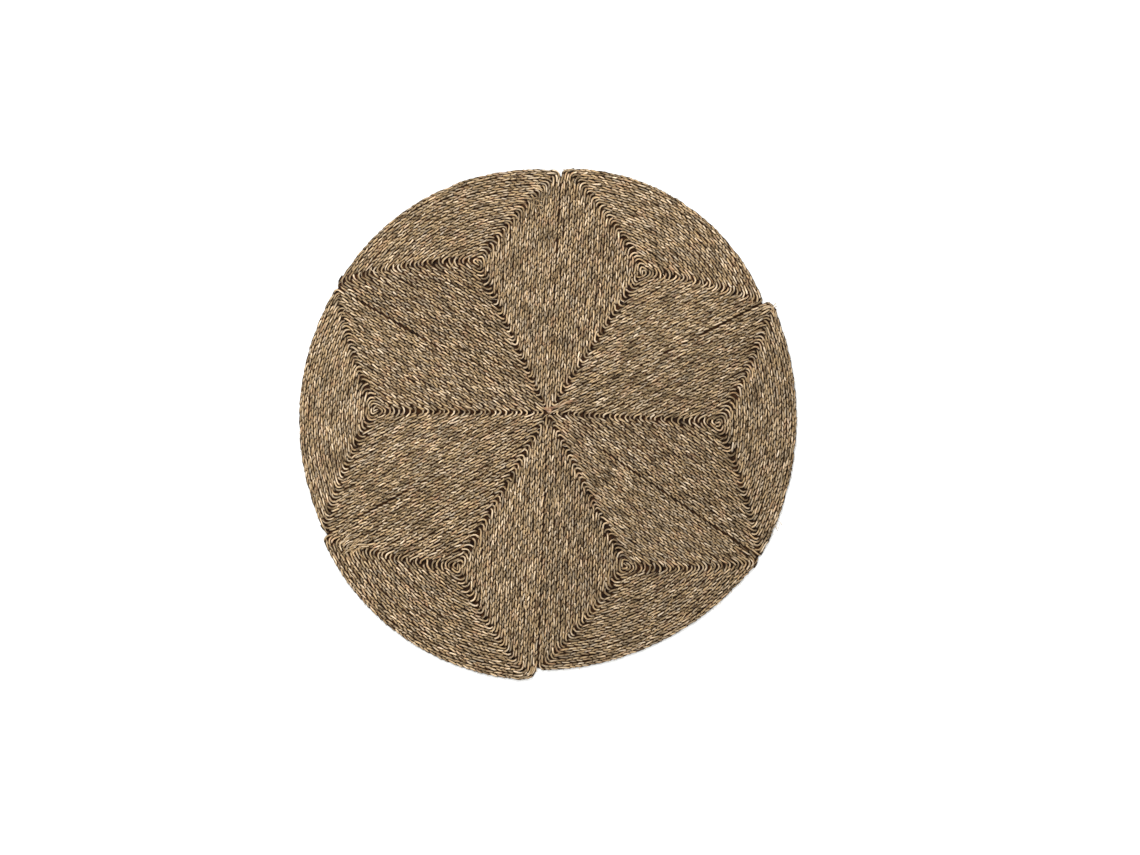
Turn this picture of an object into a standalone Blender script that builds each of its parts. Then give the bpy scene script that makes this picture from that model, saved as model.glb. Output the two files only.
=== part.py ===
"""A round seagrass rug, 1.5 m across, lying flat with +Z up.

Six sector panels meet at a hub. Each panel is one long plait, coiled outwards from an
eye in three-cornered turns and sewn edge to edge, and the panels are sewn together
along six seams. Each turn of the coil is a raised row with a groove on either side.
The underside is flat. The origin is under the middle of the rug's length and width.
"""

import math
from collections import namedtuple

import bmesh
import bpy
from mathutils import Vector

# Driving sizes, in metres.
THICKNESS = 0.009
GROOVE_DEPTH = 0.0034
SEAM_GAP = 0.0003
TIGHT_BEND = 0.009
HUB_BEND = 0.006

# Rows between a panel's edge and its eye. The eye itself is half a row from its centre.
FULL_ROWS = 16
ROWS_TO_EYE = FULL_ROWS + 0.5

# Across one row, as shares of its width: the crown lies between these two shoulders.
OUTER_SHOULDER = 0.26
INNER_SHOULDER = 0.74

# The turns nearest the eye are a rounded whorl, within this share of the way out.
WHORL_SHARE = 0.3
WHORL_ROUNDING = 0.42
MOST_ROUNDING = 0.45

# Points on a panel's edge: along the rim, and round each corner.
RIM_STEPS = 8
BEND_STEPS = 2

# Seams, by the way that each runs from the hub, in degrees anticlockwise from +X.
SEAM_ANGLE = {
    "lower_right": -34.3,
    "upper_right": 27.2,
    "top": 86.9,
    "upper_left": 149.2,
    "lower_left": 208.8,
    "bottom": 267.7,
}

# A panel runs anticlockwise from its first seam to its last one. Its rim is an arc at
# these distances from the hub at the first seam, midway and at the last seam. The
# corners are how far each rim corner is rounded, and the slits how far the panel stands
# back from each seam's line at the rim. The eye is given by its direction and distance
# from the hub. Lengths are in metres, and the direction is in degrees.
Panel = namedtuple(
    "Panel",
    "name first_seam last_seam rim_first rim_middle rim_last"
    " corner_first corner_last slit_first slit_last eye_angle eye_reach",
)
PANELS = [
    Panel("right", "lower_right", "upper_right", 0.764, 0.739, 0.743,
          0.022, 0.030, 0.0020, 0.0022, -3.0, 0.503),
    Panel("upper_right", "upper_right", "top", 0.721, 0.742, 0.727,
          0.016, 0.022, 0.0008, 0.0012, 56.4, 0.501),
    Panel("upper_left", "top", "upper_left", 0.721, 0.735, 0.732,
          0.022, 0.018, 0.0012, 0.0016, 115.1, 0.490),
    Panel("left", "upper_left", "lower_left", 0.727, 0.738, 0.748,
          0.018, 0.012, 0.0016, 0.0014, 179.4, 0.510),
    Panel("lower_left", "lower_left", "bottom", 0.778, 0.793, 0.797,
          0.040, 0.044, 0.0012, 0.0020, 239.7, 0.526),
    Panel("lower_right", "bottom", "lower_right", 0.765, 0.757, 0.763,
          0.022, 0.018, 0.0014, 0.0016, 297.2, 0.505),
]

# Dry seagrass, one tone a panel, as linear colour.
ROUGHNESS = 0.78
TONES = {
    "right": (0.250, 0.183, 0.113),
    "upper_right": (0.285, 0.209, 0.129),
    "upper_left": (0.282, 0.207, 0.125),
    "left": (0.284, 0.211, 0.129),
    "lower_left": (0.272, 0.197, 0.120),
    "lower_right": (0.246, 0.178, 0.108),
}


def clear_scene():
    for obj in list(bpy.data.objects):
        bpy.data.objects.remove(obj)


def heading(degrees):
    return Vector((math.cos(math.radians(degrees)), math.sin(math.radians(degrees))))


def circle_through(a, b, c):
    """The centre and radius of the circle through three points."""
    ab, ac = b - a, c - a
    twice_area = 2 * ab.cross(ac)
    across = Vector((
        ac.y * ab.length_squared - ab.y * ac.length_squared,
        ab.x * ac.length_squared - ac.x * ab.length_squared,
    ))
    offset = across / twice_area
    return a + offset, offset.length


class Outline:
    """A panel's three sides: two straight seams from the hub, and the rim's arc."""

    def __init__(self, panel):
        first, last = SEAM_ANGLE[panel.first_seam], SEAM_ANGLE[panel.last_seam]
        if last < first:
            last += 360
        self.panel = panel
        self.eye = heading(panel.eye_angle) * panel.eye_reach
        rim = [
            heading(first) * panel.rim_first,
            heading((first + last) / 2) * panel.rim_middle,
            heading(last) * panel.rim_last,
        ]
        self.centre, self.radius = circle_through(*rim)
        self.rim_to_eye = self.radius - (self.eye - self.centre).length
        self.first_side = self.side(first, panel.rim_first, panel.slit_first, 1)
        self.last_side = self.side(last, panel.rim_last, panel.slit_last, -1)

    def side(self, angle, length, slit, turn):
        """A point at the hub, the way out from it, and the way into the panel."""
        way_out = heading(angle)
        inward = turn * Vector((-way_out.y, way_out.x))
        start = inward * SEAM_GAP / 2
        way_out = (way_out * length + inward * slit - start).normalized()
        return start, way_out, turn * Vector((-way_out.y, way_out.x))

    def moved_in(self, side, share):
        """A point on the side, moved towards the eye to leave this share of its distance."""
        start, way_out, inward = side
        return start + inward * (1 - share) * (self.eye - start).dot(inward), way_out

    def rim_radius(self, share):
        return self.radius - (1 - share) * self.rim_to_eye

    def hub_corner(self, share):
        (p, u), (q, v) = self.moved_in(self.first_side, share), self.moved_in(self.last_side, share)
        return p + u * ((q - p).cross(v) / u.cross(v))

    def rim_corner(self, side, share):
        point, way_out = self.moved_in(side, share)
        from_centre = point - self.centre
        along = from_centre.dot(way_out)
        reach = self.rim_radius(share) ** 2 - from_centre.length_squared + along**2
        return point + way_out * (math.sqrt(reach) - along)

    def corner_rounding(self, corner, share, length):
        """How far before and after a corner the row starts to turn."""
        whorl = WHORL_ROUNDING * length * (1 - share / WHORL_SHARE)
        wanted = max(TIGHT_BEND, corner - (1 - share) * self.rim_to_eye, whorl)
        return min(wanted, MOST_ROUNDING * length)

    def ring(self, share):
        """The points of a turn of the coil: share 1 is the panel's edge, and 0 is its eye."""
        hub = self.hub_corner(share)
        first = self.rim_corner(self.first_side, share)
        last = self.rim_corner(self.last_side, share)
        radius = self.rim_radius(share)
        start = math.atan2(first.y - self.centre.y, first.x - self.centre.x)
        end = math.atan2(last.y - self.centre.y, last.x - self.centre.x)
        if end < start:
            end += math.tau
        shortest = min((first - hub).length, (last - hub).length, radius * (end - start))
        at_hub = self.corner_rounding(HUB_BEND, share, shortest)
        at_first = self.corner_rounding(self.panel.corner_first, share, shortest)
        at_last = self.corner_rounding(self.panel.corner_last, share, shortest)

        def on_rim(angle):
            return self.centre + radius * Vector((math.cos(angle), math.sin(angle)))

        rim_start, rim_end = start + at_first / radius, end - at_last / radius
        to_first, to_last = (first - hub).normalized(), (last - hub).normalized()
        points = bend(hub + to_last * at_hub, hub, hub + to_first * at_hub)
        points += bend(first - to_first * at_first, first, on_rim(rim_start))
        for step in range(1, RIM_STEPS):
            points.append(on_rim(rim_start + (rim_end - rim_start) * step / RIM_STEPS))
        points += bend(on_rim(rim_end), last, last - to_last * at_last)
        return points


def bend(before, corner, after):
    """A rounded corner, from the point before it to the point after it."""
    points = []
    for step in range(BEND_STEPS + 1):
        t = step / BEND_STEPS
        points.append(before * (1 - t) ** 2 + corner * 2 * t * (1 - t) + after * t**2)
    return points


def coil_levels():
    """(share, height) of each ring over the top, from the edge to the eye."""
    groove = THICKNESS - GROOVE_DEPTH
    levels = []
    for row in range(FULL_ROWS):
        for across, height in ((0, groove), (OUTER_SHOULDER, THICKNESS), (INNER_SHOULDER, THICKNESS)):
            levels.append((1 - (row + across) / ROWS_TO_EYE, height))
    levels.append((1 - FULL_ROWS / ROWS_TO_EYE, groove))
    levels.append((1 - (FULL_ROWS + OUTER_SHOULDER) / ROWS_TO_EYE, THICKNESS))
    return levels


def panel_mesh(outline, middle):
    """The closed solid of one panel, with the rug's middle moved to the origin."""
    bm = bmesh.new()

    def ring_at(share, height):
        return [bm.verts.new((p.x - middle.x, p.y - middle.y, height)) for p in outline.ring(share)]

    rings = [ring_at(1, 0)]
    for share, height in coil_levels():
        rings.append(ring_at(share, height))
    for lower, upper in zip(rings, rings[1:]):
        for i in range(len(lower)):
            j = (i + 1) % len(lower)
            bm.faces.new((lower[i], lower[j], upper[j], upper[i]))
    bm.faces.new(reversed(rings[0]))
    bm.faces.new(rings[-1])
    mesh = bpy.data.meshes.new("panel_" + outline.panel.name)
    bm.to_mesh(mesh)
    bm.free()
    return mesh


def seagrass(name):
    material = bpy.data.materials.new("seagrass_" + name)
    material.use_nodes = True
    shader = material.node_tree.nodes["Principled BSDF"]
    shader.inputs["Base Color"].default_value = (*TONES[name], 1)
    shader.inputs["Roughness"].default_value = ROUGHNESS
    shader.inputs["Metallic"].default_value = 0
    return material


def middle_of(outlines):
    """The middle of the rug's length and width."""
    points = [point for outline in outlines for point in outline.ring(1)]
    xs, ys = [p.x for p in points], [p.y for p in points]
    return Vector(((min(xs) + max(xs)) / 2, (min(ys) + max(ys)) / 2))


def main():
    clear_scene()
    outlines = [Outline(panel) for panel in PANELS]
    middle = middle_of(outlines)
    for outline in outlines:
        mesh = panel_mesh(outline, middle)
        mesh.materials.append(seagrass(outline.panel.name))
        bpy.context.scene.collection.objects.link(bpy.data.objects.new(mesh.name, mesh))


main()
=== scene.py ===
"""A round seagrass rug, 1.5 m across, dressed round its packed solids.

Six sector panels meet at a hub. Each is one long three-strand plait of seagrass, coiled
from an eye in three-cornered turns and sewn edge to edge, and the panels are sewn
together along six seams and tied with a small knot at the hub. Loose stems show on the
face and along the rim. Everything is in metres, +Z up, in the packed model's frame.
"""

import math
import random
from bisect import bisect
from collections import namedtuple
from functools import partial
from itertools import accumulate

import bpy
from bpy.props import FloatProperty, FloatVectorProperty, IntProperty, PointerProperty
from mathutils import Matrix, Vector


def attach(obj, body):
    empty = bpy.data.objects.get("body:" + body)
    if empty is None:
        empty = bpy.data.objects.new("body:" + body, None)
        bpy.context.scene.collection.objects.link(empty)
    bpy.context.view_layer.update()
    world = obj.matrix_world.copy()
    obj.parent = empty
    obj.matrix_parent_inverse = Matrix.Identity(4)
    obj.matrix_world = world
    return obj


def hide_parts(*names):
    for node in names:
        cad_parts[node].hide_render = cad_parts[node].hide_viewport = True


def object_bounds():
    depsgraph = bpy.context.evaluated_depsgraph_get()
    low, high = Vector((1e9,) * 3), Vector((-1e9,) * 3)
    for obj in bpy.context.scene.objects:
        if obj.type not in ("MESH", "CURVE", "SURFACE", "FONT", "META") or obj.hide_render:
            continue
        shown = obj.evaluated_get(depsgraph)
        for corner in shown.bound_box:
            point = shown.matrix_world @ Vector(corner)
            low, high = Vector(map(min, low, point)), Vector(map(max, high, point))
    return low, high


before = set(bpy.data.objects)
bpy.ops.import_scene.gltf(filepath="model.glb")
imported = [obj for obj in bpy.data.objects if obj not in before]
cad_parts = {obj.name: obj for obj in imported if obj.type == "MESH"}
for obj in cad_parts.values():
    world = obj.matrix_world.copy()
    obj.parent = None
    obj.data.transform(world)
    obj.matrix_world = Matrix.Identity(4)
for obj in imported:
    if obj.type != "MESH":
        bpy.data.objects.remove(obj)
CAD_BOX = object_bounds()

bl_info = {
    "name": "Seagrass rug",
    "version": (1, 0, 0),
    "blender": (4, 5, 0),
    "location": "3D View > Sidebar > Rug",
    "description": "Makes a round rug of coiled and plaited seagrass panels",
    "category": "Object",
}

MM = 0.001

# Seams, by the way that each runs from the hub, in degrees anticlockwise from +X. A seam
# has opened between two distances from the hub, where the edge rows lie further back by a
# share of a row, and its lacing ends this far short of the rim.
Seam = namedtuple("Seam", "angle open_from open_to opening lacing_end")
SEAMS = {
    "lower_right": Seam(-34.3, 0.16, 0.72, 0.055, 4 * MM),
    "upper_right": Seam(27.2, 0.44, 0.70, 0.08, 5 * MM),
    "top": Seam(86.9, 0.47, 0.64, 0.06, 16 * MM),
    "upper_left": Seam(149.2, 0.38, 0.69, 0.08, 4 * MM),
    "lower_left": Seam(208.8, 0.44, 0.66, 0.08, 2 * MM),
    "bottom": Seam(267.7, 0.10, 0.46, 0.035, 6 * MM),
}
SEAM_GAP = 0.3 * MM

# Where the hub is in the model's frame, whose origin is the middle of the rug.
HUB = Vector((0.42 * MM, 33.57 * MM))

# A panel runs anticlockwise from its first seam to its last one. Its rim is an arc at
# these distances from the hub at the first seam, midway and at the last seam. The
# corners are how far each rim corner is rounded, and the slits how far the panel stands
# back from each seam's line at the rim. The eye is given by its direction and distance
# from the hub, and the tone is how light its stems are, beside the rug's own mean.
# Lengths are in metres, and the direction is in degrees. The panels are the packed ones,
# but three of the rims lie up to 11 mm further in or out at a corner, and most corners are
# sharper, because the plaits run on there without a notch.
Panel = namedtuple(
    "Panel",
    "name first_seam last_seam rim_first rim_middle rim_last"
    " corner_first corner_last slit_first slit_last eye_angle eye_reach tone",
)
PANELS = [
    Panel("right", "lower_right", "upper_right", 0.762, 0.739, 0.743,
          0.010, 0.026, 0.0020, 0.0022, -3.0, 0.503, 0.94),
    Panel("upper_right", "upper_right", "top", 0.721, 0.742, 0.727,
          0.016, 0.022, 0.0008, 0.0012, 56.4, 0.501, 1.05),
    Panel("upper_left", "top", "upper_left", 0.721, 0.735, 0.732,
          0.022, 0.009, 0.0012, 0.0016, 115.1, 0.490, 0.98),
    Panel("left", "upper_left", "lower_left", 0.731, 0.738, 0.752,
          0.009, 0.009, 0.0016, 0.0014, 179.4, 0.510, 1.05),
    Panel("lower_left", "lower_left", "bottom", 0.767, 0.794, 0.795,
          0.018, 0.048, 0.0012, 0.0020, 239.7, 0.526, 1.11),
    Panel("lower_right", "bottom", "lower_right", 0.765, 0.757, 0.763,
          0.022, 0.010, 0.0014, 0.0016, 297.2, 0.505, 0.95),
]

# Rows between a panel's edge and its eye. The eye itself is half a row from its centre.
FULL_ROWS = 16
ROWS_TO_EYE = FULL_ROWS + 0.5

# How far from a corner the rows start to turn. It is least at the hub. Inside a sharp rim
# corner it grows with the distance from the rim, up to a most. In the whorl, this share of
# the way out from the eye, it is a share of the turn's longest side, as it is at most.
HUB_BEND = 6 * MM
TIGHT_BEND = 17 * MM
ROUNDING_GROWTH = 0.35
WHORL_SHARE = 0.34
WHORL_ROUNDING = 0.6
MOST_ROUNDING = 0.46

# How long a bend is, beside the distance from its corner to where it starts.
BEND_LENGTH = 1.6

# How finely the coil is laid out along straights, bends and ends, and along a panel's
# edge, the part of a stretch that gives the way there, and how far from a corner the
# strands start to fan out.
PATH_STEP = 12 * MM
BEND_STEP = 3 * MM
BEND_STEPS = 4
TAIL_STEPS = 4
EYE_STEPS = 5
EDGE_STEPS = 16
NEAR = 0.01
FAN_REACH = 30 * MM

# How full the plait's outer end is at its tip, at the last corner and past it. Its inner
# end runs this far past the eye, and is this much less full there.
TAIL_FULLNESS = (0.3, 0.7, 1.0)
EYE_OVERRUN = 6 * MM
EYE_TAPER = 0.5

# How finely strands are drawn: between points before and after they are woven, and the
# sides of a plait's strand, of a strip of lacing and of the knotted strand.
WEAVE_STEP = 2.5 * MM
STRAND_STEP = 6.0 * MM
STRAND_SIDES = 6
STRIP_SIDES = 4
KNOT_SIDES = 8

# How much longer the stitches are round a bend, and how far from its apex.
BEND_SLOWING = 0.5
BEND_REACH = 32 * MM

# How far out the outer rows lie at the rim and along the seams, as a share of a row, and
# over how many rows that fades.
RIM_SHIFT = 0.07
SEAM_SHIFT = 0.02
SHIFTED_ROWS = 4

# How far along a seam its opening widens, and how finely its lacing is laid out.
OPENING_REACH = 70 * MM
SEAM_STEP = 20 * MM

# How much wider than its own width a strip is where the rows lie evenly. It widens with them.
STRIP_WIDENING = 1.2

# The knot that ties the panels together at the hub: its size along X and Y, how far it
# rises above and below its middle, the number of steps in which it is drawn, and where
# its centre is. The end of its strand lies along a seam, as far as this from the hub.
KNOT_SIZE = (3.8 * MM, 2.4 * MM)
KNOT_RISE = 1.5 * MM
KNOT_STEPS = 36
KNOT_CENTRE = (3 * MM, 11 * MM)
TIE_SEAM = "upper_right"
TIE_REACH = 82 * MM
TIE_STEPS = 12

# Where loose stems show: the angle and distance from the hub of their middle, the way that
# they point, how long they are, how many there are, and how far apart they lie.
Tuft = namedtuple("Tuft", "angle reach way length stems scatter")
TUFTS = [
    Tuft(24.6, 0.738, 40, 0.026, 3, 0.004),
    Tuft(7.7, 0.728, 20, 0.016, 4, 0.004),
    Tuft(-26.1, 0.748, -50, 0.018, 6, 0.006),
    Tuft(61.3, 0.734, 70, 0.014, 5, 0.004),
    Tuft(90.8, 0.634, 160, 0.040, 7, 0.016),
    Tuft(213.9, 0.720, 30, 0.045, 22, 0.017),
]

# Stem ends that stick out of the plait: how far apart they are along the rows and along
# the rim, and how that differs, how high they lie, how far they stray to each side of a
# row, as a share of it, and from their way, in radians, how deep they start in the rim,
# and how long they are.
END_SPACING = 0.16
END_GAPS = (0.4, 1.6)
RIM_END_SPACING = 0.022
END_HEIGHT = 7.9 * MM
RIM_END_HEIGHT = 4.5 * MM
RIM_END_STRAY = 3 * MM
END_STRAY = 0.35
RIM_END_TURN = 1.2
RIM_END_DEPTH = (0.004, 0.009)
END_LENGTH = (0.012, 0.03)
RIM_END_LENGTH = (0.008, 0.014)

# How far a tuft's stems turn from its way, in degrees, and how their lengths differ.
TUFT_TURN = 18
TUFT_LENGTHS = (0.6, 1.2)

# Seeds of what is uneven: those of the first plait and strip of lacing, how much is added
# for each next one, and that of the knot.
PLAIT_SEEDS = (3.1, 7.7)
LACING_SEEDS = (1.7, 2.3)
KNOT_SEED = 4.0

# How far apart in the pattern of stems the stretches lie that are taken from it, by pieces
# whose seeds differ by 1, by the strands of one plait, and by loose stems whose lengths
# differ by 1 m.
APART = 101.0
STRANDS_APART = 31.7
STEMS_APART = 997.0

# How light the stems of the lacing, the knot and the loose ends are, beside the rug's own
# mean, and how much of each batch is reddish.
LACING_TONE = 1.3
KNOT_TONE = 1.0
LOOSE_TONE = 1.15
PLAIT_RED = 0.45
KNOT_RED = 1.1
LOOSE_RED = 0.0

# The photograph's frame on the floor: its width, and its centre from the rug's hub.
VIEW_WIDTH = 3.393
VIEW_CENTRE = (0.0655, -0.0432)

# The floor, half as wide as this, and just clear of the underside. The key light hangs
# above the rug's upper left.
FLOOR_HALF = 12.0
FLOOR_HEIGHT = -0.3 * MM
KEY_PLACE = (-1.3, 2.65, 3.2)
KEY_SIZE = 2.2


def smooth(t):
    """Goes from 0 to 1 with level ends."""
    t = min(1.0, max(0.0, t))
    return t * t * (3 - 2 * t)


def heading(degrees):
    return Vector((math.cos(math.radians(degrees)), math.sin(math.radians(degrees))))


def right_of(way):
    return Vector((way.y, -way.x))


def circle_through(a, b, c):
    """The centre and radius of the circle through three points."""
    ab, ac = b - a, c - a
    twice_area = 2 * ab.cross(ac)
    across = Vector((
        ac.y * ab.length_squared - ab.y * ac.length_squared,
        ab.x * ac.length_squared - ac.x * ab.length_squared,
    ))
    offset = across / twice_area
    return a + offset, offset.length


class Outline:
    """A panel's three sides: two straight seams from the hub, and the rim's arc."""

    def __init__(self, panel):
        first, last = SEAMS[panel.first_seam].angle, SEAMS[panel.last_seam].angle
        if last < first:
            last += 360
        self.panel = panel
        self.spread = math.radians(last - first)
        self.eye = heading(panel.eye_angle) * panel.eye_reach
        rim = [
            heading(first) * panel.rim_first,
            heading((first + last) / 2) * panel.rim_middle,
            heading(last) * panel.rim_last,
        ]
        self.centre, self.radius = circle_through(*rim)
        self.rim_to_eye = self.radius - (self.eye - self.centre).length
        self.first_side = self.side(first, panel.rim_first, panel.slit_first, 1)
        self.last_side = self.side(last, panel.rim_last, panel.slit_last, -1)

    def side(self, angle, length, slit, turn):
        """A point at the hub, the way out from it, and the way into the panel."""
        way_out = heading(angle)
        inward = turn * Vector((-way_out.y, way_out.x))
        start = inward * SEAM_GAP / 2
        way_out = (way_out * length + inward * slit - start).normalized()
        return start, way_out, turn * Vector((-way_out.y, way_out.x))

    def moved_in(self, side, share):
        """A point on the side, moved towards the eye to leave this share of its distance."""
        start, way_out, inward = side
        return start + inward * (1 - share) * (self.eye - start).dot(inward), way_out

    def rim_radius(self, share):
        return self.radius - (1 - share) * self.rim_to_eye

    def hub_corner(self, share):
        (p, u), (q, v) = (self.moved_in(side, share) for side in (self.first_side, self.last_side))
        return p + u * ((q - p).cross(v) / u.cross(v))

    def rim_corner(self, side, side_share, rim_share):
        """Where a turn's straight side meets its rim."""
        point, way_out = self.moved_in(side, side_share)
        from_centre = point - self.centre
        along = from_centre.dot(way_out)
        reach = self.rim_radius(rim_share) ** 2 - from_centre.length_squared + along**2
        return point + way_out * (math.sqrt(reach) - along)

    def corner_rounding(self, corner, row):
        """How far before and after a corner a row starts to turn."""
        share = max(0.0, row_share(row))
        length = share * min(self.panel.rim_first, self.radius * self.spread)
        whorl = WHORL_ROUNDING * length * (1 - share / WHORL_SHARE)
        inside = (1 - share) * self.rim_to_eye
        wanted = max(min(TIGHT_BEND, corner + ROUNDING_GROWTH * inside), corner - inside, whorl)
        return min(wanted, MOST_ROUNDING * length)


def row_share(row):
    """The share of the way out from the eye at the middle of a row, counted from the edge."""
    return 1 - (row + 0.5) / ROWS_TO_EYE


# The stretches of one turn, in order, and those of them that are bends.
STRETCHES = ["last side", "hub", "first side", "first corner", "rim", "last corner"]
BENDS = {"hub", "first corner", "last corner"}


class Turn(Outline):
    """One turn of a panel's coil, drawn anticlockwise: last side, hub, first side, rim.

    Its last side starts from the rim of the row before, and its rim ends at the last
    side of the row after, so the coil moves in by one row at each last corner.
    """

    def __init__(self, outline, row, row_before, row_after):
        self.__dict__.update(outline.__dict__)
        self.start = self.rim_corner(self.last_side, row_share(row), row_share(row_before))
        self.hub = self.hub_corner(row_share(row))
        self.first = self.rim_corner(self.first_side, row_share(row), row_share(row))
        self.end = self.rim_corner(self.last_side, row_share(row_after), row_share(row))
        self.at_start = self.corner_rounding(self.panel.corner_last, (row + row_before) / 2)
        self.at_hub = self.corner_rounding(HUB_BEND, row)
        self.at_first = self.corner_rounding(self.panel.corner_first, row)
        self.at_end = self.corner_rounding(self.panel.corner_last, (row + row_after) / 2)
        self.to_first = (self.first - self.hub).normalized()
        self.to_last = (self.start - self.hub).normalized()
        self.reach = self.rim_radius(row_share(row))
        first_angle = self.angle_of(self.first)
        span = (self.angle_of(self.end) - first_angle + math.pi) % math.tau - math.pi
        self.rim_start = first_angle + self.at_first / self.reach
        self.rim_end = first_angle + span - self.at_end / self.reach
        before_hub = self.hub + self.to_last * self.at_hub
        after_hub = self.hub + self.to_first * self.at_hub
        before_first = self.first - self.to_first * self.at_first
        self.guides = {
            "last side": (self.start - self.to_last * self.at_start, before_hub),
            "hub": (before_hub, self.hub, after_hub),
            "first side": (after_hub, before_first),
            "first corner": (before_first, self.first, self.on_rim(self.rim_start)),
            "last corner": (self.on_rim(self.rim_end), self.end, self.end - self.to_last * self.at_end),
        }

    def angle_of(self, point):
        return math.atan2(point.y - self.centre.y, point.x - self.centre.x)

    def on_rim(self, angle):
        return self.centre + self.reach * Vector((math.cos(angle), math.sin(angle)))

    def length_of(self, stretch):
        """About how long a stretch is."""
        return {
            "last side": (self.start - self.hub).length - self.at_start - self.at_hub,
            "hub": self.at_hub * BEND_LENGTH,
            "first side": (self.first - self.hub).length - self.at_hub - self.at_first,
            "first corner": self.at_first * BEND_LENGTH,
            "rim": self.reach * (self.rim_end - self.rim_start),
            "last corner": self.at_end * BEND_LENGTH,
        }[stretch]

    def point(self, stretch, fraction):
        """The point this fraction of the way along a stretch."""
        if stretch == "rim":
            return self.on_rim(self.rim_start + (self.rim_end - self.rim_start) * fraction)
        if stretch not in BENDS:
            start, end = self.guides[stretch]
            return start.lerp(end, fraction)
        before, corner, after = self.guides[stretch]
        return before * (1 - fraction) ** 2 + corner * 2 * fraction * (1 - fraction) + after * fraction**2


class Row:
    """A turn with the turns half a row outside and inside it, which are its edges."""

    def __init__(self, outline, row, row_before, row_after):
        self.outer, self.middle, self.inner = (
            Turn(outline, row + half, row_before + half, row_after + half) for half in (-0.5, 0, 0.5)
        )

    def place(self, stretch, fraction):
        """A point of the turn, and the step from it to the next row out.

        The step is square to the row along a straight, and fans out towards a bend.
        """
        point = self.middle.point(stretch, fraction)
        mitred = self.outer.point(stretch, fraction) - self.inner.point(stretch, fraction)
        if stretch in BENDS:
            return point, mitred
        ahead, behind = (self.middle.point(stretch, fraction + near) for near in (NEAR, -NEAR))
        way = ahead - behind
        square = mitred.project(right_of(way))
        length = self.middle.length_of(stretch)
        distance = length * min(fraction, 1 - fraction)
        fanning = smooth(1 - distance / min(FAN_REACH, length / 2))
        return point, square.lerp(mitred, fanning)


# A point of a path, the step from it to the next row out, how full the plait is there,
# and whether it is the apex of a bend.
Station = namedtuple("Station", "point step full apex", defaults=(False,))


def edge_of(outline):
    """The turn that follows the panel's edge."""
    return Turn(outline, -0.5, -0.5, -0.5)


def area_of(outline):
    """The area of a panel's face."""
    edge = edge_of(outline)
    points = [edge.point(stretch, step / EDGE_STEPS) for stretch in STRETCHES for step in range(EDGE_STEPS)]
    return abs(sum(p.cross(q) for p, q in zip(points, points[1:] + points[:1]))) / 2


def edge_shift(panel, stretch, fraction, distance):
    """How far out the edge row lies at this distance from the hub, as a share of a row."""
    seam = SEAMS[panel.last_seam if stretch in ("last side", "last corner") else panel.first_seam]
    opened = smooth(min(distance - seam.open_from, seam.open_to - distance) / OPENING_REACH)
    at_seam = SEAM_SHIFT - seam.opening * opened
    at_rim = {"first corner": fraction, "rim": 1.0, "last corner": 1 - fraction}.get(stretch, 0.0)
    return at_seam + (RIM_SHIFT - at_seam) * at_rim


def coil_path(outline):
    """The stations of a panel's plait, from its outer end to the eye."""
    stations = []

    def lay(row, stretch, count, shifted, fullness=(1.0, 1.0), part=(0.0, 1.0)):
        for number in range(count):
            done = number / count
            fraction = part[0] + (part[1] - part[0]) * done
            point, step = row.place(stretch, fraction)
            full = fullness[0] + (fullness[1] - fullness[0]) * done
            shift = shifted * edge_shift(outline.panel, stretch, fraction, point.length)
            apex = stretch in BENDS and number == count // 2
            stations.append(Station(point + step * (shift + (1 - full) / 2), step, full, apex))

    # The outer end lies along the rim where the first full turn leaves it.
    rows = [Row(outline, row, max(0, row - 1), row + 1) for row in range(FULL_ROWS)]
    tail = Row(outline, 0, 0, 0)
    rim_start, rim_end = tail.middle.rim_start, tail.middle.rim_end
    tail_start = (rows[0].middle.rim_end - rim_start) / (rim_end - rim_start)
    lay(tail, "rim", TAIL_STEPS, 1.0, fullness=TAIL_FULLNESS[:2], part=(tail_start, 1.0))
    lay(tail, "last corner", BEND_STEPS, 1.0, fullness=TAIL_FULLNESS[1:])
    for number, row in enumerate(rows):
        shifted = max(0.0, 1 - number / SHIFTED_ROWS)
        for stretch in STRETCHES:
            longest = BEND_STEP if stretch in BENDS else PATH_STEP
            count = max(BEND_STEPS, round(row.middle.length_of(stretch) / longest))
            lay(row, stretch, count, shifted)

    # The inner end is a short bar that stops just past the eye.
    bar_start, step = rows[-1].place("last corner", 1.0)
    bar_end = outline.eye - rows[-1].middle.to_last * EYE_OVERRUN
    for number in range(EYE_STEPS + 1):
        done = number / EYE_STEPS
        stations.append(Station(bar_start.lerp(bar_end, done), step, 1 - EYE_TAPER * smooth(done)))
    return stations


def between_rows(stations):
    """The line where a plait's inner edge meets the next row in."""
    return [station._replace(point=station.point - station.step * station.full / 2) for station in stations]


def rim_path(outline):
    """The line beneath the middle of the outermost row, along the rim."""
    row = Row(outline, 0, 0, 0)
    stations = []
    for stretch in ("first corner", "rim", "last corner"):
        count = max(BEND_STEPS, round(row.middle.length_of(stretch) / PATH_STEP))
        for number in range(count):
            point, step = row.place(stretch, number / count)
            stations.append(Station(point, step.normalized() * ROW, 1.0))
    return stations


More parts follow.
